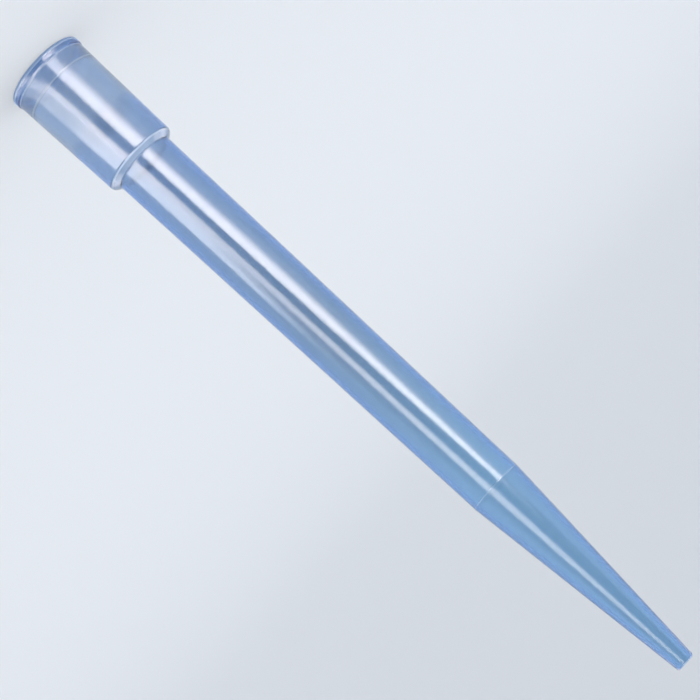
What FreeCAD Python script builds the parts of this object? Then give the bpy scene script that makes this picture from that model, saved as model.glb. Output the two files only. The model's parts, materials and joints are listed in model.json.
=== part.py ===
import FreeCAD, Part
import os
import Sketcher

# A 5 mL class pipette tip: one piece of injection-moulded polypropylene, a stepped and tapered
# tube that is pushed over the nose of a pipette by its wide end.
#
# From the wide end: a rim bead round the mouth, a collar that hides the socket for the nose, a
# sloped shoulder, a long barrel that holds the liquid, a thin raised line where two inserts of
# the mould met, and a steeper cone that ends in the orifice.
#
# Frame: millimetres. The origin is the centre of the mouth's rim, and +Z runs along the axis to
# the pointed end, so the tip stands on its mouth.

# Driving dimensions: name, value (mm, or degrees for a draft), what it is.
SIZES = [
    ("overall_length", 150.0, "mouth rim to pointed end"),
    ("collar_radius", 7.65, "outside of the collar, carried down to the plane of the mouth"),
    ("collar_draft", 1.05, "degrees that the collar leans in on each side"),
    ("collar_length", 23.55, "mouth rim to the top edge of the shoulder"),
    ("bead_rise", 0.17, "how far the rim bead stands out of the collar"),
    ("bead_height", 1.4, "mouth rim to the end of the bead's straight side"),
    ("bead_fade", 0.35, "length over which the bead runs down to the collar"),
    ("shoulder_run", 1.0, "length of the shoulder along the axis"),
    ("shoulder_step", 1.32, "how far the shoulder comes in from the collar to the barrel"),
    ("barrel_draft", 0.51, "degrees that the barrel leans in on each side"),
    ("cone_length", 42.9, "mould line to pointed end"),
    ("point_radius", 1.82, "outside of the pointed end"),
    ("line_rise", 0.06, "how far the mould line stands out of the barrel"),
    ("line_radius", 0.2, "radius of the mould line's round section"),
    ("seal_wall", 0.75, "collar at the mouth's plane to the sealing land"),
    ("entry_step", 0.2, "how much wider the entry bore is than the sealing land"),
    ("entry_depth", 4.7, "mouth rim to the step down to the sealing land"),
    ("step_run", 0.15, "length of the step down to the sealing land"),
    ("seal_length", 9.2, "length of the sealing land"),
    ("relief_run", 3.0, "length over which the bore narrows above the sealing land"),
    ("socket_wall", 0.65, "wall of the collar between the sealing land and the seat"),
    ("seat_back", 0.15, "how far the seat starts before the outer shoulder"),
    ("seat_run", 1.0, "length of the sloped seat that the nose stops against"),
    ("barrel_wall", 0.75, "wall of the barrel"),
    ("point_wall", 0.8, "wall at the pointed end"),
    ("lead_in", 0.18, "chamfer inside the mouth"),
    ("rim_round", 0.4, "rounding outside the mouth"),
    ("bead_round", 0.3, "rounding of the bead's far edge"),
    ("shoulder_round", 0.8, "rounding of the shoulder's outer edge"),
    ("root_round", 0.5, "rounding where the shoulder meets the barrel"),
    ("seat_round", 0.7, "rounding where the seat meets the barrel's bore"),
    ("point_round", 0.25, "rounding outside the orifice"),
]

POLYPROPYLENE = 0.905e-3  # grams in a cubic millimetre
SAME_PLACE = 1e-4  # millimetres within which two edges are the same one

# Heights and one radius that several corners share, as formulas on the sheet.
SEAL_START = "sizes.entry_depth + sizes.step_run"
SEAL_END = SEAL_START + " + sizes.seal_length"
RELIEF_START = SEAL_END + " + sizes.relief_run"
SEAT_START = "sizes.collar_length - sizes.seat_back"
SEAT_END = SEAT_START + " + sizes.seat_run"
SHOULDER_END = "sizes.collar_length + sizes.shoulder_run"
CONE_START = "sizes.overall_length - sizes.cone_length"
POINT = "sizes.overall_length"
SEAL_RADIUS = "sizes.collar_radius - sizes.seal_wall"


def collar_at(height):
    """Outer radius of the drafted collar at a height, as a formula."""
    return f"sizes.collar_radius - tan(sizes.collar_draft * 1 deg) * ({height})"


BARREL_RADIUS = collar_at("sizes.collar_length") + " - sizes.shoulder_step"


def barrel_at(height):
    """Outer radius of the drafted barrel at a height, as a formula."""
    return f"{BARREL_RADIUS} - tan(sizes.barrel_draft * 1 deg) * ({height} - ({SHOULDER_END}))"


# Corners of the two outlines, from the mouth to the point: name, radius, height. None stands for
# the axis in the first place, and for the plane of the mouth in the second.
OUTSIDE = [
    ("mouth_axis", None, None),
    ("rim_edge", "sizes.collar_radius + sizes.bead_rise", None),
    ("bead_edge", "sizes.collar_radius + sizes.bead_rise", "sizes.bead_height"),
    ("bead_foot", collar_at("sizes.bead_height + sizes.bead_fade"),
     "sizes.bead_height + sizes.bead_fade"),
    ("shoulder_edge", collar_at("sizes.collar_length"), "sizes.collar_length"),
    ("shoulder_root", BARREL_RADIUS, SHOULDER_END),
    ("mould_line", barrel_at(CONE_START), CONE_START),
    ("point_edge", "sizes.point_radius", POINT),
    ("point_axis", None, POINT),
]
INSIDE = [
    ("bore_axis", None, None),
    ("lip_edge", SEAL_RADIUS + " + sizes.entry_step", None),
    ("entry_end", SEAL_RADIUS + " + sizes.entry_step", "sizes.entry_depth"),
    ("seal_start", SEAL_RADIUS, SEAL_START),
    ("seal_end", SEAL_RADIUS, SEAL_END),
    ("relief_start", collar_at(RELIEF_START) + " - sizes.socket_wall", RELIEF_START),
    ("seat_edge", collar_at(SEAT_START) + " - sizes.socket_wall", SEAT_START),
    ("seat_foot", BARREL_RADIUS + " - sizes.barrel_wall", SEAT_END),
    ("cone_bore", barrel_at(CONE_START) + " - sizes.barrel_wall", CONE_START),
    ("orifice", "sizes.point_radius - sizes.point_wall", POINT),
    ("orifice_axis", None, POINT),
]


def make_sheet(doc):
    """The sheet of driving dimensions, one row for each."""
    sheet = doc.addObject("Spreadsheet::Sheet", "sizes")
    for row, (alias, value, meaning) in enumerate(SIZES, start=1):
        sheet.set(f"A{row}", meaning)
        sheet.set(f"B{row}", str(value))
        sheet.setAlias(f"B{row}", alias)
    doc.recompute()


def new_sketch(body, name):
    """An empty sketch on the body's XZ plane: across is the radius, up is the height."""
    sketch = body.newObject("Sketcher::SketchObject", name)
    plane = next(f for f in body.Origin.OriginFeatures if f.Role == "XZ_Plane")
    sketch.AttachmentSupport = [(plane, "")]
    sketch.MapMode = "FlatFace"
    return sketch


def bind(sketch, kind, geometry, point, formula, name):
    """Dimension one point from the sketch's origin, and tie the dimension to the sheet."""
    value = float(sketch.evalExpression(formula))
    index = sketch.addConstraint(Sketcher.Constraint(kind, -1, 1, geometry, point, value))
    sketch.renameConstraint(index, name)
    sketch.setExpression(f"Constraints.{name}", formula)


def draw_outline(sketch, corners):
    """A closed outline of straight sides through the named corners, each tied to the sheet."""
    spots = []
    for _, radius, height in corners:
        across = float(sketch.evalExpression(radius)) if radius else 0.0
        up = float(sketch.evalExpression(height)) if height else 0.0
        spots.append(FreeCAD.Vector(across, up, 0))
    for start, end in zip(spots, spots[1:] + spots[:1]):
        sketch.addGeometry(Part.LineSegment(start, end))
    for side, (name, radius, height) in enumerate(corners):
        before = (side - 1) % len(corners)
        sketch.addConstraint(Sketcher.Constraint("Coincident", before, 2, side, 1))
        if radius:
            bind(sketch, "DistanceX", side, 1, radius, name + "_radius")
        else:
            sketch.addConstraint(Sketcher.Constraint("PointOnObject", side, 1, -2))
        if height:
            bind(sketch, "DistanceY", side, 1, height, name + "_height")
        else:
            sketch.addConstraint(Sketcher.Constraint("PointOnObject", side, 1, -1))


def draw_ring_section(sketch, centre_radius, centre_height, size):
    """One circle off the axis, for a ring of round section."""
    spot = FreeCAD.Vector(float(sketch.evalExpression(centre_radius)),
                          float(sketch.evalExpression(centre_height)), 0)
    radius = float(sketch.evalExpression(size))
    sketch.addGeometry(Part.Circle(spot, FreeCAD.Vector(0, 0, 1), radius))
    bind(sketch, "DistanceX", 0, 3, centre_radius, "centre_radius")
    bind(sketch, "DistanceY", 0, 3, centre_height, "centre_height")
    index = sketch.addConstraint(Sketcher.Constraint("Radius", 0, radius))
    sketch.renameConstraint(index, "section_radius")
    sketch.setExpression("Constraints.section_radius", size)


def turn(body, sketch, kind, name):
    """Turn a sketch a full circle round the tip's axis, to add or to cut."""
    feature = body.newObject(kind, name)
    feature.Profile = sketch
    feature.ReferenceAxis = (sketch, ["V_Axis"])
    feature.Angle = 360
    sketch.Visibility = False
    body.Document.recompute()
    return feature


def ring_edge(feature, corners, corner_name):
    """Name of the circular edge that a corner of an outline left on a feature."""
    _, radius, height = next(corner for corner in corners if corner[0] == corner_name)
    want_radius = float(feature.evalExpression(radius))
    want_height = float(feature.evalExpression(height)) if height else 0.0
    for number, edge in enumerate(feature.Shape.Edges, start=1):
        if not isinstance(edge.Curve, Part.Circle):
            continue
        off_radius = abs(edge.Curve.Radius - want_radius)
        off_height = abs(edge.Curve.Center.z - want_height)
        if max(off_radius, off_height) < SAME_PLACE:
            return f"Edge{number}"
    raise RuntimeError(f"{feature.Name} has no round edge at {corner_name}")


def dress(body, kind, name, corners, corner_name, size):
    """Round or chamfer the edge that one corner of an outline left."""
    base = body.Tip
    feature = body.newObject(kind, name)
    feature.Base = (base, [ring_edge(base, corners, corner_name)])
    feature.setExpression("Radius" if kind == "PartDesign::Fillet" else "Size", size)
    body.Document.recompute()
    return feature


def make_tip_body(doc):
    """The moulded tip: outside turned, socket and bore cut, edges rounded."""
    body = doc.addObject("PartDesign::Body", "tip_body")
    body.Label = "tip_body"

    outside = new_sketch(body, "outside_outline")
    draw_outline(outside, OUTSIDE)
    turn(body, outside, "PartDesign::Revolution", "outside_form")

    line = new_sketch(body, "mould_line_section")
    draw_ring_section(line, barrel_at(CONE_START) + " + sizes.line_rise - sizes.line_radius",
                      CONE_START, "sizes.line_radius")
    turn(body, line, "PartDesign::Revolution", "mould_line")

    bore = new_sketch(body, "bore_outline")
    draw_outline(bore, INSIDE)
    solid_volume = body.Tip.Shape.Volume
    turn(body, bore, "PartDesign::Groove", "socket_and_bore")
    if body.Tip.Shape.Volume > solid_volume - SAME_PLACE:
        raise RuntimeError("the bore did not cut the tip")

    for name, corners, corner_name, size in [
            ("rim_rounding", OUTSIDE, "rim_edge", "sizes.rim_round"),
            ("bead_rounding", OUTSIDE, "bead_edge", "sizes.bead_round"),
            ("shoulder_rounding", OUTSIDE, "shoulder_edge", "sizes.shoulder_round"),
            ("root_rounding", OUTSIDE, "shoulder_root", "sizes.root_round"),
            ("seat_rounding", INSIDE, "seat_foot", "sizes.seat_round"),
            ("point_rounding", OUTSIDE, "point_edge", "sizes.point_round")]:
        dress(body, "PartDesign::Fillet", name, corners, corner_name, size)
    dress(body, "PartDesign::Chamfer", "mouth_lead_in", INSIDE, "lip_edge", "sizes.lead_in")
    return body


def check(doc, bodies):
    """Stop before anything is written if a feature failed or a shape is not sound."""
    for item in doc.Objects:
        if "Invalid" in item.State or "Error" in item.State:
            raise RuntimeError(f"{item.Name} failed: {item.State}")
    for body in bodies:
        shape = body.Shape
        if shape.isNull() or not shape.isValid() or len(shape.Solids) != 1:
            raise RuntimeError(f"{body.Label} is not one sound solid")


def main():
    doc = FreeCAD.newDocument("pipette_tip")
    make_sheet(doc)
    bodies = [make_tip_body(doc)]
    doc.recompute()
    check(doc, bodies)
    os.makedirs("parts", exist_ok=True)
    for body in bodies:
        body.Shape.exportStep(f"parts/{body.Label}.step")
        grams = body.Shape.Volume * POLYPROPYLENE
        print(f"{body.Label}: {body.Shape.Volume:.1f} mm3, {grams:.2f} g in polypropylene")


main()
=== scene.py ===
"""Looks for a large pipette tip, one tube moulded in see-through polypropylene."""

import json
import math

import bpy
import numpy as np
from mathutils import Matrix, Vector


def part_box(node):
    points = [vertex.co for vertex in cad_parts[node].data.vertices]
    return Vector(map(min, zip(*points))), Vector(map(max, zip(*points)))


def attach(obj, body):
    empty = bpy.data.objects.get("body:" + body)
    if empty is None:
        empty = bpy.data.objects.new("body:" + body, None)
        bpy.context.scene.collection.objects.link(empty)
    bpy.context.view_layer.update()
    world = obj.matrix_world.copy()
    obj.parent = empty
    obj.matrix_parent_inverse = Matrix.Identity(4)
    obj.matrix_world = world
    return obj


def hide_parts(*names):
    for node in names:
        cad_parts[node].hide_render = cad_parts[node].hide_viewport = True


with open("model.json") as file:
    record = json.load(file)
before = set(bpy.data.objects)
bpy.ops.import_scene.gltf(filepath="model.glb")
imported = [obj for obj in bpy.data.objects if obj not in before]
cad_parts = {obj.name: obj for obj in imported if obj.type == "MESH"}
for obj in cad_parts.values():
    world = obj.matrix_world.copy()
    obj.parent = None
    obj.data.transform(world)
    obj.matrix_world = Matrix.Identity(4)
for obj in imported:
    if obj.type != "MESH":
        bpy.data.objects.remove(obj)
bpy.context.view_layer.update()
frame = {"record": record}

bl_info = {
    "name": "Pipette Tip",
    "version": (1, 0, 0),
    "blender": (4, 5, 0),
    "location": "3D View > Sidebar > Pipette Tip",
    "description": "Builds a moulded pipette tip and the table-top studio it is shown in",
    "category": "Add Mesh",
}

MM = 0.001
TIP_NODE = "tip_body"
TIP_LOW, TIP_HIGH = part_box(TIP_NODE)
SOCKET = next(m for m in frame["record"]["mounts"] if m["name"] == "socket")

TIP_COLUMNS = 192  # faces once round the tip
CARD_COLUMNS = 25  # points across a lamp's card
LONGEST_FACE = 2.0 * MM  # along a straight side of the wall
GUARD = 0.02 * MM  # short face beside each rounding, which keeps smooth shading inside it
ROUND_OFF = 1e-9  # metres, less than any real step in height


# ---------------------------------------------------------------- settings


def length(name, text, millimetres):
    """A length property, given in millimetres and kept in metres."""
    return bpy.props.FloatProperty(
        name=name, description=text, default=millimetres * MM, unit="LENGTH", precision=5)


def slope(name, text, degrees):
    """An angle property, given in degrees."""
    return bpy.props.FloatProperty(
        name=name, description=text, default=math.radians(degrees), subtype="ANGLE")


def share(name, text, value):
    """A property between nothing and all."""
    return bpy.props.FloatProperty(
        name=name, description=text, default=value, min=0.0, max=1.0, subtype="FACTOR")


def glow(name, text, value):
    """The brightness of a lamp's face, where the floor's is about 0.8."""
    return bpy.props.FloatProperty(name=name, description=text, default=value, min=0.0)


def watts(name, text, value):
    """The power of a softbox, in watts."""
    return bpy.props.FloatProperty(
        name=name, description=text, default=value, min=0.0, unit="POWER")


def linear(sheet_colour):
    """An sRGB hex colour as the linear red, green, blue that Blender works in."""
    parts = [int(sheet_colour[i:i + 2], 16) / 255 for i in (1, 3, 5)]
    return tuple(c / 12.92 if c <= 0.04045 else ((c + 0.055) / 1.055) ** 2.4 for c in parts)


def colour(name, text, sheet_colour):
    """A colour property, given as sRGB hex."""
    return bpy.props.FloatVectorProperty(
        name=name, description=text, default=linear(sheet_colour), subtype="COLOR",
        size=3, min=0.0, max=1.0)


class TipSizes(bpy.types.PropertyGroup):
    """Sizes of the moulding, measured in the same planes as those of the CAD part."""
    overall: length("Overall length", "Mouth rim to pointed end", (TIP_HIGH.z - TIP_LOW.z) / MM)
    rim_radius: length("Rim radius", "Outside of the bead round the mouth", TIP_HIGH.x / MM)
    bead_rise: length("Bead rise", "How far the bead stands out of the collar", 0.17)
    bead_height: length("Bead height", "Straight side of the bead", 1.4)
    bead_fade: length("Bead fade", "Run from the bead down to the collar", 0.35)
    collar_draft: slope("Collar draft", "Lean of the collar's side", 1.05)
    collar_length: length("Collar length", "Mouth rim to the edge of the shoulder", 23.55)
    shoulder_step: length("Shoulder step", "How far the shoulder comes in", 1.32)
    shoulder_run: length("Shoulder run", "Length of the shoulder", 1.0)
    barrel_draft: slope("Barrel draft", "Lean of the barrel's side", 0.51)
    cone_length: length("Cone length", "Mould line to pointed end", 42.9)
    point_radius: length("Point radius", "Outside of the pointed end", 1.82)
    line_rise: length("Mould line rise", "Height of the raised line above the cone", 0.06)
    line_shown: share("Mould line shown", "Share of the line's rise that is drawn, because its "
                      "gloss makes it stand out more than its height", 0.22)
    line_radius: length("Mould line radius", "Radius of the line's round section", 0.2)
    seal_radius: length("Seal radius", "Bore of the sealing land", SOCKET["dims"]["r_mm"])
    seal_length: length("Seal length", "Length of the sealing land", SOCKET["dims"]["length_mm"])
    entry_step: length("Entry step", "How much wider the entry bore is", 0.2)
    entry_depth: length("Entry depth", "Mouth rim to the step", 4.7)
    step_run: length("Step run", "Length of the step down to the sealing land", 0.15)
    relief_run: length("Relief run", "Length over which the bore narrows above the land", 3.0)
    socket_wall: length("Socket wall", "Wall between the land and the seat", 0.65)
    seat_back: length("Seat back", "How far the seat starts before the shoulder", 0.15)
    seat_run: length("Seat run", "Length of the sloped seat", 1.0)
    barrel_wall: length("Barrel wall", "Wall of the barrel", 0.75)
    point_wall: length("Point wall", "Wall at the pointed end", 0.8)
    lead_in: length("Lead-in", "Chamfer inside the mouth", 0.18)
    rim_round: length("Rim rounding", "Rounding outside the mouth", 0.4)
    bead_round: length("Bead rounding", "Rounding of the bead's far edge", 0.3)
    foot_round: length("Foot rounding", "Rounding where the bead meets the collar", 0.12)
    shoulder_round: length("Shoulder rounding", "Rounding of the shoulder's outer edge", 0.8)
    root_round: length("Root rounding", "Rounding where the shoulder meets the barrel", 0.5)
    line_foot_round: length("Line foot rounding", "Rounding of the mould line's feet", 0.05)
    line_top_round: length("Line top rounding", "Rounding of the mould line's top", 0.1)
    point_round: length("Point rounding", "Rounding outside the orifice", 0.25)
    orifice_round: length("Orifice rounding", "Rounding inside the orifice", 0.06)
    bore_round: length("Bore rounding", "Rounding of the bore where the cone starts", 0.4)
    seat_round: length("Seat rounding", "Rounding where the seat meets the barrel's bore", 0.7)
    seat_edge_round: length("Seat edge rounding", "Rounding of the seat's outer edge", 0.1)
    relief_round: length("Relief rounding", "Soft bend at both ends of the relief", 20.0)
    step_round: length("Step rounding", "Rounding of the step's and the lead-in's edges", 0.04)
    lip_round: length("Lip rounding", "Rounding of the rim's inner edge", 0.03)


class TipFinish(bpy.types.PropertyGroup):
    """Colour and gloss of the moulded polypropylene, with painted light: a blue backdrop tint and
    painted highlights.
    """
    collar_colour: colour("Collar colour", "Skin colour at the mouth", "#E2E2ED")
    barrel_colour: colour("Barrel colour", "Skin colour of the barrel", "#E3E3E5")
    cone_colour: colour("Cone colour", "Skin colour where the cone starts", "#F4FCFC")
    point_colour: colour("Point colour", "Skin colour at the pointed end", "#FAFEFD")
    # painted highlight as well as haze: the colour below also whitens the rounded edges, the fine
    # rings, the crest and the mould line so that they show as bright lines
    haze_and_highlight_colour: colour("Haze colour", "What the cloudy parts of the skin scatter", "#D7E4F5")
    # painted light: this cool tint stands in for a blue backdrop seen through the plastic
    painted_backdrop_tint: colour("Wall tint", "What is left of white light behind one barrel wall",
                      "#BCDAF2")
    polish: share("Roughness", "Roughness of the skin that the polished mould leaves", 0.18)
    clear_haze: share("Clear haze", "Cloudiness where the mould is polished", 0.07)
    land_haze: share("Land haze", "Cloudiness over the frosted sealing land", 0.26)
    # painted highlight: the milky rim, shoulder and pointed end stand in for the light that these
    # rounded edges catch
    edge_highlight: share("Edge haze", "Cloudiness of the rim, the shoulder and the pointed end", 0.30)
    mouth_haze: share("Mouth haze", "Cloudiness between the bead and the step", 0.21)
    # painted highlights: the milky fine rings, crest and mould line below stand in for the bright
    # lines of light that these small edges catch
    ring_highlight: share("Ring haze", "Cloudiness of the fine rings round the mouth", 0.50)
    crest_highlight: share("Crest haze", "Cloudiness of the fine ring round the shoulder", 0.60)
    line_highlight: share("Line haze", "Cloudiness of the mould line", 0.55)


class StudioSettings(bpy.types.PropertyGroup):
    """Floor, lamps and camera."""
    floor_colour: colour("Floor", "Pale card that the tip stands on", "#E9ECF0")
    lamp_colour: colour("Lamp colour", "Light of the lamps seen in the plastic", "#FFF5EF")
    fill_colour: colour("Fill colour", "Light of the strip lamp to the right", "#FFF3E9")
    low_colour: colour("Low colour", "Light of the low broad lamp", "#FFFBF7")
    side_colour: colour("Side colour", "Light of the broad lamps at both sides", "#C2DEFB")
    # painted shade: colour of the card that stands in for the shaded floor inside the mouth
    mouth_colour: colour("Mouth colour", "Shaded floor inside the mouth", "#B1D3FF")
    rim_colour: colour("Rim colour", "Light of the floor close round the mouth", "#76B3FF")
    backdrop_colour: colour("Backdrop colour", "Blue light from behind the tip", "#6AAFFF")
    key_glow: glow("Key glow", "Strip lamp to the left of the camera", 17.5)
    side_glow: glow("Side glow", "Broad faint lamps at both sides", 2.4)
    fill_glow: glow("Fill glow", "Strip lamp to the right of the camera", 13.8)
    floor_glow: glow("Floor glow", "Low broad lamp further to the right", 11.4)
    top_glow: glow("Top glow", "Lamp above the camera that draws the rounded edges", 9.0)
    # painted shade: brightness of the dim card that stands in for the shaded floor inside the
    # mouth
    mouth_glow: glow("Mouth glow", "Floor inside the mouth, lit through the plastic", 0.55)
    rim_glow: glow("Rim glow", "Floor close round the mouth", 0.5)
    backdrop_glow: glow("Backdrop glow", "Blue light from behind that tints the edges", 0.5)
    back_glow: glow("Back glow", "Lamps at both sides behind the tip", 3.0)
    air_glow: glow("Air glow", "Even light from all sides", 0.55)
    open_power: watts("Open softbox", "Lamp above that casts no shadow", 9.2)
    shadow_power: watts("Shadow softbox", "Lamp above that casts the soft shadow", 1.5)
    focal_length: bpy.props.FloatProperty(
        name="Focal length", description="Camera focal length, in millimetres", default=135.8,
        unit="CAMERA")
    camera_distance: length("Camera distance", "Camera to the point it looks at", 448.8)
    camera_lift: slope("Camera lift", "Rise of the camera above the point it looks at", 8.9)
    camera_slant: slope("Camera slant", "Roll of the camera beyond a quarter turn", 42.7354)
    aim_height: length("Aim height", "Height of the point that the camera looks at", 73.07)
    aim_aside: length("Aim aside", "That point's distance to the right of the axis", -0.286)


# ---------------------------------------------------------------- surfaces


def arc_corner(before, corner, after, radius, steps):
    """Points of the arc that rounds one corner of an outline.

    The arc touches both sides at radius times the tangent of half the turn from the corner. Its
    points are the centre plus the radius times the direction, turned evenly from one side's
    normal to the other's."""
    way_in = (corner - before) / np.linalg.norm(corner - before)
    way_out = (after - corner) / np.linalg.norm(after - corner)
    turn = math.atan2(way_in[0] * way_out[1] - way_in[1] * way_out[0], way_in @ way_out)
    reach = radius * math.tan(abs(turn) / 2)
    side = math.copysign(1.0, turn)
    left = np.array([-way_in[1], way_in[0]]) * side
    centre = corner - way_in * reach + left * radius
    angles = np.linspace(0.0, turn, steps)
    spoke = -left
    across = spoke[0] * np.cos(angles) - spoke[1] * np.sin(angles)
    along = spoke[0] * np.sin(angles) + spoke[1] * np.cos(angles)
    return centre + radius * np.stack([across, along], axis=1)


def rounded_outline(corners, guard, spacing, marks):
    """Points of a closed outline of straight sides and round corners.

    corners is a list of (radius, height, rounding, points of the arc). A short guard point
    follows and precedes each arc, so that smooth shading stays inside the arc. A straight side
    is divided evenly at no more than the spacing, and also at each height in marks."""
    spots = np.array([corner[:2] for corner in corners])
    arcs = []
    for index, (_, _, rounding, steps) in enumerate(corners):
        around = spots[index - 1], spots[index], spots[(index + 1) % len(spots)]
        arcs.append(arc_corner(*around, rounding, steps))
    stretches = []
    for arc, following in zip(arcs, arcs[1:] + arcs[:1]):
        start, end = arc[-1], following[0]
        gap = np.linalg.norm(end - start)
        even = np.linspace(guard / gap, 1 - guard / gap, 2 + int(gap / spacing))
        rise = end[1] - start[1]
        marked = (np.array(marks) - start[1]) / rise if abs(rise) > guard else np.array([])
        marked = marked[(marked > even[0]) & (marked < even[-1])]
        shares = np.union1d(even, marked)[:, None]
        stretches += [arc, start + shares * (end - start)]
    return np.concatenate(stretches)


def carried_round(name, path, bearings, closed_path=False, full_turn=False):
    """A mesh that carries a path of (radius, height) round the Z axis.

    A point of the surface is (radius times the sine of the bearing, minus radius times its
    cosine, height), so that bearing 0 is the side towards the camera. The bearings are one list
    for the whole path, or one list for each of its points. The UV map runs from 0 to 1 over the
    bearings and over the path's points."""
    bearings = np.broadcast_to(bearings, (len(path), np.shape(bearings)[-1]))
    radius, height = path[:, 0:1], path[:, 1:2]
    grid = np.stack([radius * np.sin(bearings), -radius * np.cos(bearings),
                     np.broadcast_to(height, bearings.shape)], axis=2)
    rows, columns = bearings.shape
    row = np.arange(rows if closed_path else rows - 1)[:, None]
    column = np.arange(columns if full_turn else columns - 1)[None, :]
    around = [(row, column), (row, column + 1), (row + 1, column + 1), (row + 1, column)]
    quads = np.stack([(r % rows) * columns + c % columns for r, c in around], axis=2)
    mesh = bpy.data.meshes.new(name)
    mesh.from_pydata(grid.reshape(-1, 3), [], quads.reshape(-1, 4))
    spread = (columns if full_turn else columns - 1), (rows if closed_path else rows - 1)
    uv = np.stack([np.stack(np.broadcast_arrays(c / spread[0], r / spread[1]), axis=2)
                   for r, c in around], axis=2)
    mesh.uv_layers.new(name="round_and_along").data.foreach_set(
        "uv", uv.astype(np.float32).ravel())
    mesh.polygons.foreach_set("use_smooth", np.ones(len(mesh.polygons), bool))
    return mesh


def round_turn(segments):
    """Bearings once round, without the one that closes the turn."""
    return np.linspace(0.0, 2 * math.pi, segments, endpoint=False)


def new_object(name, mesh, material):
    """An object at the origin that holds a mesh and its one material."""
    mesh.materials.append(material)
    piece = bpy.data.objects.new(name, mesh)
    bpy.context.scene.collection.objects.link(piece)
    return piece


# ---------------------------------------------------------------- nodes

MIX_FIRST, MIX_SECOND, MIX_RESULT = 6, 7, 2  # the colour sockets of a Mix node


def node(tree, kind, links=None, **settings):
    """Adds a node, sets its attributes or sockets by name, and links sockets into it."""
    made = tree.nodes.new(kind)
    for name, value in settings.items():
        if hasattr(made, name):
            setattr(made, name, value)
        else:
            made.inputs[name.replace("_", " ")].default_value = value
    for socket, source in (links or {}).items():
        tree.links.new(source, made.inputs[socket])
    return made


def new_material(name):
    """An empty node material and its tree."""
    material = bpy.data.materials.new(name)
    material.use_nodes = True
    material.node_tree.nodes.clear()
    return material, material.node_tree


def set_ramp(ramp, stops):
    """Gives a colour ramp its stops, each a position and a linear colour."""
    elements = ramp.color_ramp.elements
    while len(elements) < len(stops):
        elements.new(1.0)
    for element, (position, stop_colour) in zip(elements, stops):
        element.position = position
        element.color = (*stop_colour, 1.0)


def moulded_polypropylene(sizes, finish):
    """Natural polypropylene, injection moulded against a polished steel cavity.

    To the eye: see-through with a cool tint that deepens where the wall is seen edge-on, a soft
    gloss, and a little haze that keeps it from looking like glass. The cool tint is painted light:
    it stands in for a blue backdrop seen through the plastic. The milky rounded edges, fine rings,
    crest and mould line are painted highlights."""
    material, tree = new_material("moulded_polypropylene")
    place = node(tree, "ShaderNodeTexCoord").outputs["Object"]
    height = node(tree, "ShaderNodeSeparateXYZ", {"Vector": place}).outputs["Z"]

    # Lengthwise lines that polishing left in the mould make the highlights' edges a little uneven.
    # They are drawn 0.9 mm apart, coarser than the real ones, so that they show. Along the tip the
    # pattern's scale is a small share of that across it, which makes the lines long.
    line_gap, line_depth, along_share = 0.9 * MM, 0.0003 * MM, 0.008
    streaks = node(tree, "ShaderNodeMapping", {"Vector": place}, Scale=(1.0, 1.0, along_share))
    polish_lines = node(tree, "ShaderNodeTexNoise", {"Vector": streaks.outputs[0]},
                        Scale=1 / line_gap, Detail=3.0)
    lines = node(tree, "ShaderNodeBump", {"Height": polish_lines.outputs["Fac"]},
                 Strength=1.0, Distance=line_depth)

    # The clear skin's colour changes slightly from the mouth to the pointed end. The places are
    # shares of the height.
    mid_barrel, near_line = 0.45, 0.70
    skin = node(tree, "ShaderNodeValToRGB", {"Fac": node(
        tree, "ShaderNodeMapRange", {"Value": height}, From_Max=sizes.overall).outputs[0]})
    set_ramp(skin, [(0.0, finish.collar_colour), (mid_barrel, finish.barrel_colour),
                    (near_line, finish.cone_colour), (1.0, finish.point_colour)])

    # Where the mould is frosted, the skin scatters light instead of letting it through. The same
    # milky white is a painted highlight on the rounded edges, the fine rings, the crest and the
    # mould line. Clear is one minus cloudy.
    haze_and_highlight_mask = node(tree, "ShaderNodeAttribute", attribute_name="haze_and_highlight").outputs["Fac"]
    whitening = node(tree, "ShaderNodeMapRange", {"Value": haze_and_highlight_mask}, From_Min=finish.clear_haze,
                 From_Max=finish.land_haze)
    whitened_skin = node(tree, "ShaderNodeMix", {0: whitening.outputs[0], MIX_FIRST: skin.outputs[0]},
                 data_type="RGBA")
    whitened_skin.inputs[MIX_SECOND].default_value = (*finish.haze_and_highlight_colour, 1.0)
    clear = node(tree, "ShaderNodeMath", {1: haze_and_highlight_mask}, operation="SUBTRACT")
    clear.inputs[0].default_value = 1.0

    # 1.49 is the IOR of polypropylene.
    shader = node(tree, "ShaderNodeBsdfPrincipled",
                  {"Normal": lines.outputs[0], "Base Color": whitened_skin.outputs[MIX_RESULT],
                   "Transmission Weight": clear.outputs[0]},
                  Roughness=finish.polish, IOR=1.49)

    # One barrel wall leaves the tint of white light, and a longer way through it leaves less: the
    # absorption is minus the logarithm of the tint, divided by the wall. The tint is painted
    # light, the blue of a backdrop seen through the plastic.
    absorbed = -np.log(np.array(finish.painted_backdrop_tint)) / sizes.barrel_wall
    strongest = float(absorbed.max())
    depth = node(tree, "ShaderNodeVolumeAbsorption", Color=(*(1 - absorbed / strongest), 1.0),
                 Density=strongest)
    node(tree, "ShaderNodeOutputMaterial",
         {"Surface": shader.outputs[0], "Volume": depth.outputs[0]})
    return material


def pale_card(settings):
    """Matt paper card. To the eye: plain, pale and without gloss."""
    material, tree = new_material("pale_matt_card")
    shader = node(tree, "ShaderNodeBsdfPrincipled", Base_Color=(*settings.floor_colour, 1.0),
                  Roughness=0.9, Specular_IOR_Level=0.0)
    node(tree, "ShaderNodeOutputMaterial", {"Surface": shader.outputs[0]})
    return material


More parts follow.
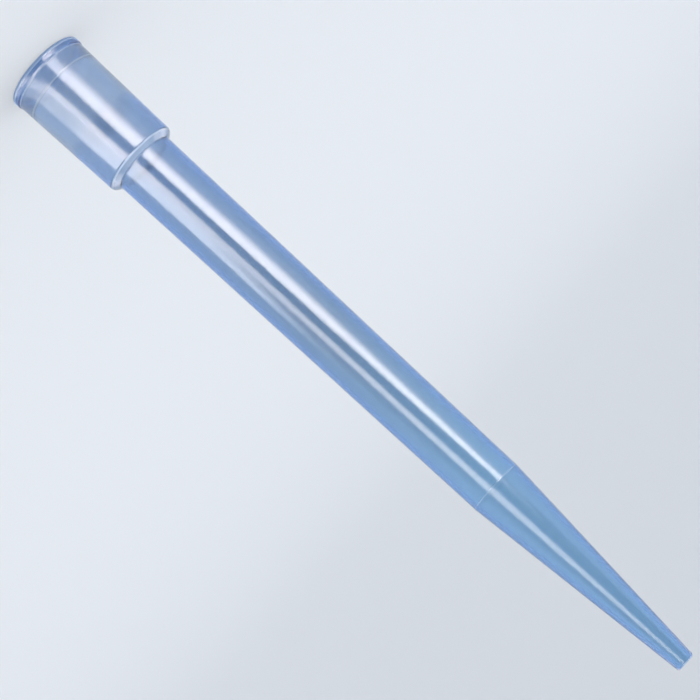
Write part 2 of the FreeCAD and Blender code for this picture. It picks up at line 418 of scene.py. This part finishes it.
def lamp_face(name, light_colour, strength, fades, last_row, opaque):
    """The face of a lamp, whose light is added to what stands behind it, or hides it.

    Each fade is an axis of the card, the place on it where the light is faintest, the place where
    it is full and the share of it left at the faintest place. Places on X are shares of the
    card's width, and places on Y are numbers of its rows."""
    material, tree = new_material(name)
    card = node(tree, "ShaderNodeUVMap", uv_map="round_and_along").outputs[0]
    axes = node(tree, "ShaderNodeSeparateXYZ", {"Vector": card}).outputs
    spans = {"X": 1, "Y": last_row}
    glowing = node(tree, "ShaderNodeEmission", Color=(*light_colour, 1.0), Strength=strength)
    light = None
    for axis, faintest, full, least in fades:
        most = 1.0 if light else strength
        fade = node(tree, "ShaderNodeMapRange", {"Value": axes[axis]},
                    interpolation_type="SMOOTHSTEP", From_Min=faintest / spans[axis],
                    From_Max=full / spans[axis], To_Min=most * least, To_Max=most).outputs[0]
        light = node(tree, "ShaderNodeMath", {0: light, 1: fade},
                     operation="MULTIPLY").outputs[0] if light else fade
    if light:
        tree.links.new(light, glowing.inputs["Strength"])
    face = glowing
    if not opaque:
        behind = node(tree, "ShaderNodeBsdfTransparent")
        face = node(tree, "ShaderNodeAddShader", {0: glowing.outputs[0], 1: behind.outputs[0]})
    node(tree, "ShaderNodeOutputMaterial", {"Surface": face.outputs[0]})
    return material


def black_cloth():
    """Matt black cloth. To the eye: a stretch of the reflections that no light comes from."""
    material, tree = new_material("black_cloth")
    shader = node(tree, "ShaderNodeBsdfPrincipled", Base_Color=(0.0, 0.0, 0.0, 1.0),
                  Specular_IOR_Level=0.0)
    node(tree, "ShaderNodeOutputMaterial", {"Surface": shader.outputs[0]})
    return material


# ---------------------------------------------------------------- pieces


def tip_corners(sizes):
    """Corners of the tip's wall section: up the outside, and over the point down the bore.

    Each is radius, height, rounding and how many points draw the rounding. The collar's radius at
    a height is its foot's radius minus the height times the tangent of its draft, and the barrel
    narrows in the same way."""
    collar_foot = sizes.rim_radius - sizes.bead_rise
    bead_end = sizes.bead_height + sizes.bead_fade
    shoulder_end = sizes.collar_length + sizes.shoulder_run
    cone_start = sizes.overall - sizes.cone_length
    seal_start = sizes.entry_depth + sizes.step_run
    seal_end = seal_start + sizes.seal_length
    relief_end = seal_end + sizes.relief_run
    seat_start = sizes.collar_length - sizes.seat_back
    seat_end = seat_start + sizes.seat_run

    def collar(height):
        """Outside radius of the collar, or of its side carried on past the shoulder's edge."""
        return collar_foot - math.tan(sizes.collar_draft) * height

    barrel_radius = collar(sizes.collar_length) - sizes.shoulder_step
    barrel_end = barrel_radius - math.tan(sizes.barrel_draft) * (cone_start - shoulder_end)
    entry_radius = sizes.seal_radius + sizes.entry_step
    line_top = barrel_end + sizes.line_shown * sizes.line_rise
    line_half = math.sqrt(sizes.line_radius ** 2 - (sizes.line_radius - sizes.line_rise) ** 2)
    outside = [
        (sizes.rim_radius, 0.0, sizes.rim_round, 12),
        (sizes.rim_radius, sizes.bead_height, sizes.bead_round, 6),
        (collar(bead_end), bead_end, sizes.foot_round, 5),
        (collar(sizes.collar_length), sizes.collar_length, sizes.shoulder_round, 14),
        (barrel_radius, shoulder_end, sizes.root_round, 14),
        (barrel_end, cone_start - line_half, sizes.line_foot_round, 3),
        (line_top, cone_start, sizes.line_top_round, 5),
        (barrel_end, cone_start + line_half, sizes.line_foot_round, 3),
        (sizes.point_radius, sizes.overall, sizes.point_round, 8),
    ]
    inside = [
        (sizes.point_radius - sizes.point_wall, sizes.overall, sizes.orifice_round, 4),
        (barrel_end - sizes.barrel_wall, cone_start, sizes.bore_round, 4),
        (barrel_radius - sizes.barrel_wall, seat_end, sizes.seat_round, 10),
        (collar(seat_start) - sizes.socket_wall, seat_start, sizes.seat_edge_round, 5),
        (collar(relief_end) - sizes.socket_wall, relief_end, sizes.relief_round, 12),
        (sizes.seal_radius, seal_end, sizes.relief_round, 12),
        (sizes.seal_radius, seal_start, sizes.step_round, 3),
        (entry_radius, sizes.entry_depth, sizes.step_round, 3),
        (entry_radius, sizes.lead_in, sizes.step_round, 3),
        (entry_radius + sizes.lead_in, 0.0, sizes.lip_round, 3),
    ]
    return outside, inside


def skin_haze_and_highlights(sizes, finish):
    """How cloudy and how whitened the outer skin is along the tip, as a row of heights and a row
    of values.

    It is clear where the mould is polished, and milky on the frosted land. The milky rounded
    edges, fine rings, crest and mould line are painted highlights: they stand in for the light
    that these edges and rings catch. Between two heights it changes evenly."""
    bead_foot = sizes.bead_height + sizes.bead_fade
    step = sizes.entry_depth + sizes.step_run / 2
    land_end = step + sizes.seal_length
    edge = sizes.collar_length
    root = edge + sizes.shoulder_run
    line = sizes.overall - sizes.cone_length
    bead_ring, bead_ring_width = 0.54 * MM, 0.18 * MM
    ring_reach, ring_blur, line_half = 0.12 * MM, 0.06 * MM, 0.10 * MM
    # bottom and top of each ring, and the haze above it. Each ring is a painted highlight: a milky
    # band where light catching the bead, the bead's foot and the inner step would show as a bright
    # line.
    rings = [(bead_ring, bead_ring + bead_ring_width, finish.clear_haze),
             (bead_foot, bead_foot + ring_reach, finish.mouth_haze),
             (step - ring_reach, step + ring_reach, finish.land_haze)]
    # the rim, whitened as a painted highlight
    pairs = [(0.0, finish.edge_highlight)]
    before = finish.edge_highlight
    for bottom, top, after in rings:
        pairs += [(bottom - ring_blur, before), (bottom, finish.ring_highlight),
                  (top, finish.ring_highlight), (top + ring_blur, after)]
        before = after
    pairs += [
        # the frosted land fades out slowly
        (land_end - 0.2 * MM, finish.land_haze), (land_end + 1.5 * MM, finish.clear_haze),
        # a milky crest on the collar's upper edge, and the shoulder above it, both painted
        # highlights of the light that the rounded edge catches
        (edge - 0.10 * MM, finish.clear_haze), (edge - 0.02 * MM, finish.crest_highlight),
        (edge + 0.16 * MM, finish.crest_highlight), (edge + 0.24 * MM, finish.edge_highlight),
        (root - 0.20 * MM, finish.edge_highlight), (root, finish.clear_haze),
        # the mould line, whitened as a painted highlight
        (line - line_half, finish.clear_haze), (line, finish.line_highlight),
        (line + line_half, finish.clear_haze),
        # the pointed end, whitened as a painted highlight
        (sizes.overall - 0.4 * MM, finish.clear_haze), (sizes.overall, finish.edge_highlight)]
    return np.array(pairs).T


class PIPETTE_OT_moulded_tip(bpy.types.Operator):
    """Build the moulded tip over its CAD solid"""
    bl_idname = "pipette.moulded_tip"
    bl_label = "Moulded Tip"

    def execute(self, context):
        sizes, finish = context.scene.tip_sizes, context.scene.tip_finish
        outside, inside = tip_corners(sizes)
        heights, hazes_and_highlights = skin_haze_and_highlights(sizes, finish)
        outline = rounded_outline(outside + inside, GUARD, LONGEST_FACE, heights)
        haze_and_highlight = np.interp(outline[:, 1], heights, hazes_and_highlights)
        last_outside = np.flatnonzero(outline[:, 1] > sizes.overall - ROUND_OFF)[-1]
        haze_and_highlight[last_outside + 1:] = 0.0  # the bore is polished from end to end
        mesh = carried_round("tip_shell", outline, round_turn(TIP_COLUMNS), closed_path=True,
                             full_turn=True)
        # one value a point for the haze of the frosted land and the painted highlights on the
        # edges, rings, crest and mould line
        haze_and_highlight_mask = mesh.attributes.new("haze_and_highlight", "FLOAT", "POINT")
        haze_and_highlight_mask.data.foreach_set("value", np.repeat(haze_and_highlight, TIP_COLUMNS).astype(np.float32))
        shell = new_object("tip_shell", mesh, moulded_polypropylene(sizes, finish))
        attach(shell, "root")
        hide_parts(TIP_NODE)
        return {"FINISHED"}


# ---------------------------------------------------------------- studio

COOL_WHITE = (0.95, 0.97, 1.0, 1.0)  # linear
SOFT_SIDES = [("X", 0.0, 0.3, 0.0), ("X", 1.0, 0.7, 0.0)]  # fades of a lamp with blurred sides


def sweep_mesh(flat, rise, wall, segments):
    """A round sweep of card, in metres: flat to the first radius, then a quarter circle, then a
    wall. A point of the circle is the rise times the sine of its angle further out, and the rise
    times one minus the cosine up."""
    centre_hole, bend_points = 1.0 * MM, 24
    bend = np.linspace(0.0, math.pi / 2, bend_points)
    curve = np.stack([flat + rise * np.sin(bend), rise * (1 - np.cos(bend))], axis=1)
    path = np.concatenate([[[centre_hole, 0.0], [flat / 2, 0.0]], curve,
                           [[flat + rise, rise + wall]]])
    return carried_round("pale_sweep", path, round_turn(segments), full_turn=True)


def reflector(name, rows, face, shows_through=False):
    """A card carried round the tip, seen only as a reflection in it, or through it as well.

    Each row is a radius and a height in millimetres, and the first and last bearing there in
    degrees. Bearing 0 is the side towards the camera, and the right is positive."""
    rows = np.array(rows)
    across = np.linspace(0.0, 1.0, CARD_COLUMNS)
    bearings = np.radians(rows[:, 2:3] * (1 - across) + rows[:, 3:4] * across)
    card = new_object(name, carried_round(name, rows[:, :2] * MM, bearings), face)
    card.visible_camera = False
    card.visible_diffuse = False
    card.visible_transmission = shows_through
    card.visible_shadow = False


def lamp_card(name, face_name, light_colour, strength, rows, fades=(), shows_through=False,
              opaque=False):
    """A reflector whose face is a lamp."""
    face = lamp_face(face_name, light_colour, strength, fades, len(rows) - 1, opaque)
    reflector(name, rows, face, shows_through)


def set_front_lamps(settings):
    """The lamps whose reflections run along the tip as bright strips, and the dark gap.

    A bearing is reflected beside the axis, at the tip's radius times the sine of half the bearing.
    Most cards start on the floor close to the mouth, where the foot of the collar reflects them,
    and run out to where they stand up, for the upper barrel and the cone."""
    # the broad bright strip to the left of the middle, up to the mould line
    lamp_card("key_reflector", "key_face", settings.lamp_colour, settings.key_glow,
              [(8.1, 0.4, -55, -9.5), (20, 0.4, -54.5, -10.5), (23.5, 0.4, -70, -11),
               (55, 0.4, -80, -11), (66, 0.4, -80, -11), (100, 0.4, -78.5, -11.5),
               (180, 0.4, -80.5, -13.5), (300, 0.4, -90.5, -14), (300, 18, -85, -16),
               (300, 36, -76.5, -18.5), (300, 85, -60.5, -27.5), (300, 118, -54.5, -28)],
              [("X", 0.0, 0.17, 0.0), ("X", 0.32, 0.74, 0.06), ("Y", 1, 2, 0.7),
               ("Y", 3, 4, 0.85)])
    # a faint cool glow towards both edges
    for side, bearings in (("left", (-35, -150)), ("right", (45, 150))):
        lamp_card(f"side_glow_{side}", f"side_face_{side}", settings.side_colour,
                  settings.side_glow,
                  [(22, 0.2, *bearings), (330, 0.2, *bearings), (330, 420, *bearings)],
                  [("X", 0.0, 0.25, 0.0), ("X", 1.0, 0.3, 0.0)])
    # the paler strip to the right of the middle, as far as the pointed end
    lamp_card("fill_reflector", "fill_face", settings.fill_colour, settings.fill_glow,
              [(8.1, 0.4, 21.5, 48), (20, 0.4, 21, 48), (23.5, 0.4, 15, 34),
               (55, 0.4, 15, 34), (66, 0.4, 15, 34), (88, 0.4, 15, 34),
               (180, 0.4, 8.5, 35), (300, 0.4, 11, 36), (300, 85, 10, 36),
               (300, 130, 4, 36), (300, 215, 4, 35)],
              [("X", 0.0, 0.18, 0.0), ("X", 1.0, 0.75, 0.0), ("Y", 1, 2, 0.4),
               ("Y", 3, 4, 0.8), ("Y", 6, 5, 0.66), ("Y", 10, 8, 0.75)])
    # the strip beside it, which fades out up the barrel
    lamp_card("floor_glow", "floor_face", settings.low_colour, settings.floor_glow,
              [(8.1, 0.3, 30, 72), (20, 0.3, 30, 72), (23.5, 0.3, 30, 72), (55, 0.3, 30, 72),
               (66, 0.3, 30, 77), (230, 0.3, 30, 71), (300, 0.3, 47, 73), (370, 0.3, 57, 75),
               (430, 0.3, 66, 76)],
              [("Y", 8, 5.6, 0.0), ("X", 1.0, 0.77, 0.0), ("Y", 1, 2, 0.5), ("Y", 3, 4, 0.48)])
    # the dark gap between the strips, and the dark left side of the cone
    reflector("dark_flag",
              [(8.1, 0.3, -11, 12), (300, 0.3, -14, 11), (300, 118, -24, 10),
               (300, 119, -50, 0), (300, 250, -50, 0)],
              black_cloth())
    # light on the rounded edges
    lamp_card("top_reflector", "top_face", settings.lamp_colour, settings.top_glow,
              [(1000, 1300, -100, 100), (1000, 640, -100, 100)], SOFT_SIDES)


def set_low_and_back_lamps(settings):
    """The floor that shows through the plastic at the mouth, and the lamps behind the tip."""
    # painted shade: a dim opaque card, seen only through the plastic, hides the floor inside the
    # mouth and stands in for the shade there; and the floor close round it
    lamp_card("painted_mouth_shade", "painted_mouth_shade_face", settings.mouth_colour, settings.mouth_glow,
              [(0.1, 0.05, 0, 360), (7.0, 0.05, 0, 360)], shows_through=True, opaque=True)
    lamp_card("rim_floor", "rim_face", settings.rim_colour, settings.rim_glow,
              [(7.3, 0.05, 0, 360), (9.5, 0.05, 0, 360)], shows_through=True)
    # blue light from behind that tints the edges
    for side, bearings in (("left", (-123, -166)), ("right", (123, 166))):
        lamp_card(f"backdrop_{side}", f"backdrop_face_{side}", settings.backdrop_colour,
                  settings.backdrop_glow,
                  [(60, 0.2, *bearings), (320, 0.2, *bearings), (320, 45, *bearings),
                   (320, 100, *bearings), (320, 300, *bearings)],
                  [*SOFT_SIDES, ("Y", 4, 1.4, 0.35)], shows_through=True)
    # strips on the back of the tip
    for side, bearings in (("left", (-160, -105)), ("right", (105, 160))):
        lamp_card(f"back_reflector_{side}", f"back_face_{side}", settings.lamp_colour,
                  settings.back_glow, [(600, 200, *bearings), (550, 700, *bearings)],
                  SOFT_SIDES)


def softbox(name, place, width, power):
    """A soft square lamp that faces the foot of the tip."""
    lamp = bpy.data.lights.new(name, "AREA")
    lamp.shape, lamp.size, lamp.size_y, lamp.energy = "RECTANGLE", width, width, power
    box = bpy.data.objects.new(name, lamp)
    box.location = place
    box.rotation_euler = (-Vector(place)).to_track_quat("-Z", "Y").to_euler()
    bpy.context.scene.collection.objects.link(box)
    return lamp


def light_room(scene, settings):
    """Even light from all sides, a softbox that casts no shadow and one that does.

    Caustics stay off, because through the plastic they would be mostly noise. The Standard view
    shows the colours as they are, without a film's curve."""
    softbox("open_softbox", (0.0, 0.1, 1.4), 1.2, settings.open_power).use_shadow = False
    softbox("shadow_softbox", (-0.5, 0.5, 1.2), 0.8, settings.shadow_power)
    world = bpy.data.worlds.new("studio_air")
    world.use_nodes = True
    air = world.node_tree.nodes["Background"]
    air.inputs["Color"].default_value = COOL_WHITE
    air.inputs["Strength"].default_value = settings.air_glow
    scene.world = world
    scene.cycles.caustics_reflective = False
    scene.cycles.caustics_refractive = False
    scene.view_settings.view_transform = "Standard"


def place_camera(scene, settings):
    """A camera in front of the tip and a little above its middle, rolled so that the tip lies
    from corner to corner of the frame.

    It stands at the aim plus the distance times (0, minus the cosine, the sine) of its lift."""
    camera = bpy.data.cameras.new("camera")
    camera.lens = settings.focal_length
    camera.clip_start, camera.clip_end = 0.01, 20.0
    view = bpy.data.objects.new("camera", camera)
    scene.collection.objects.link(view)
    aim = Vector((settings.aim_aside, 0.0, settings.aim_height))
    away = Vector((0.0, -math.cos(settings.camera_lift), math.sin(settings.camera_lift)))
    level = (-away).to_track_quat("-Z", "Y").to_matrix().to_4x4()
    quarter_turn = math.radians(90.0)
    roll = Matrix.Rotation(quarter_turn + settings.camera_slant, 4, "Z")
    place = Matrix.Translation(aim + away * settings.camera_distance)
    view.matrix_world = place @ level @ roll
    scene.camera = view


class PIPETTE_OT_studio(bpy.types.Operator):
    """Lay the pale floor, set the lamps and place the camera"""
    bl_idname = "pipette.studio"
    bl_label = "Studio"

    def execute(self, context):
        scene, settings = context.scene, context.scene.studio_settings
        sweep = sweep_mesh(flat=0.9, rise=0.7, wall=0.8, segments=96)
        floor = new_object("pale_floor", sweep, pale_card(settings))
        set_front_lamps(settings)
        set_low_and_back_lamps(settings)
        light_room(scene, settings)
        place_camera(scene, settings)
        return {"FINISHED"}


# ---------------------------------------------------------------- panel


class PIPETTE_PT_panel(bpy.types.Panel):
    """Buttons that build the tip and its studio"""
    bl_label = "Pipette Tip"
    bl_idname = "PIPETTE_PT_panel"
    bl_space_type = "VIEW_3D"
    bl_region_type = "UI"
    bl_category = "Pipette Tip"

    def draw(self, context):
        """Show every setting, and a button for each operator."""
        for group in ("tip_sizes", "tip_finish", "studio_settings"):
            settings = getattr(context.scene, group)
            box = self.layout.box()
            for name in settings.__annotations__:
                box.prop(settings, name)
        self.layout.operator(PIPETTE_OT_moulded_tip.bl_idname)
        self.layout.operator(PIPETTE_OT_studio.bl_idname)


CLASSES = (TipSizes, TipFinish, StudioSettings, PIPETTE_OT_moulded_tip, PIPETTE_OT_studio,
           PIPETTE_PT_panel)


def register():
    """Register the classes and hang the settings on the scene."""
    for part in CLASSES:
        bpy.utils.register_class(part)
    bpy.types.Scene.tip_sizes = bpy.props.PointerProperty(type=TipSizes)
    bpy.types.Scene.tip_finish = bpy.props.PointerProperty(type=TipFinish)
    bpy.types.Scene.studio_settings = bpy.props.PointerProperty(type=StudioSettings)


def unregister():
    """Take the settings and the classes away again."""
    del bpy.types.Scene.tip_sizes
    del bpy.types.Scene.tip_finish
    del bpy.types.Scene.studio_settings
    for part in reversed(CLASSES):
        bpy.utils.unregister_class(part)


def main():
    """Build the tip and its studio."""
    register()
    bpy.ops.pipette.moulded_tip()
    bpy.ops.pipette.studio()


if __name__ == "__main__":
    main()
